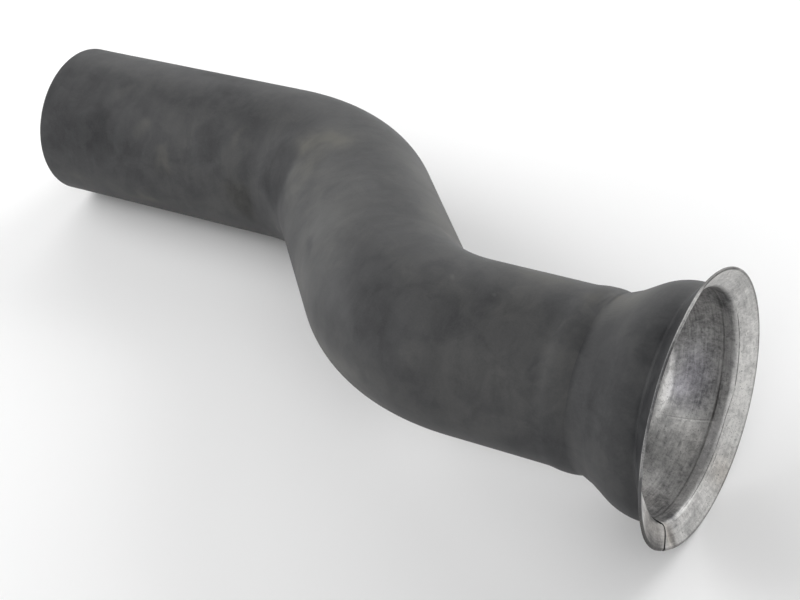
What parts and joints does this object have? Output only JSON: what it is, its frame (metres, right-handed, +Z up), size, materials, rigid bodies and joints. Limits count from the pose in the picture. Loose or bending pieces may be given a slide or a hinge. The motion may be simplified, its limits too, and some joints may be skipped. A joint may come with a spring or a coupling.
{
  "type": "exhaust pipe",
  "caption": "Steel exhaust tube with two opposite bends, a plain cut end, and a welded flared bell whose conical lip takes a V-band clamp.",
  "frame": {"origin": "centre of the pipe's outline on the floor, where it lies at rest", "axes": "+X along both straight ends, out of the bell's mouth; +Z up; +Y towards the far end's offset"},
  "size_m": [0.6822, 0.3439, 0.1913],
  "materials": {
    "dark_coating": "matte, cloudy dark grey heat-resistant coating on steel",
    "bell_steel": "matte dark grey outside, bare pressed steel inside and on the lip",
    "weld_metal": "matte dark grey with a faint brown heat tint"
  },
  "bodies": {
    "root": {"bent_tube": "dark_coating", "flare_bell": "bell_steel", "neck_weld": "weld_metal"}
  },
  "joints": []
}
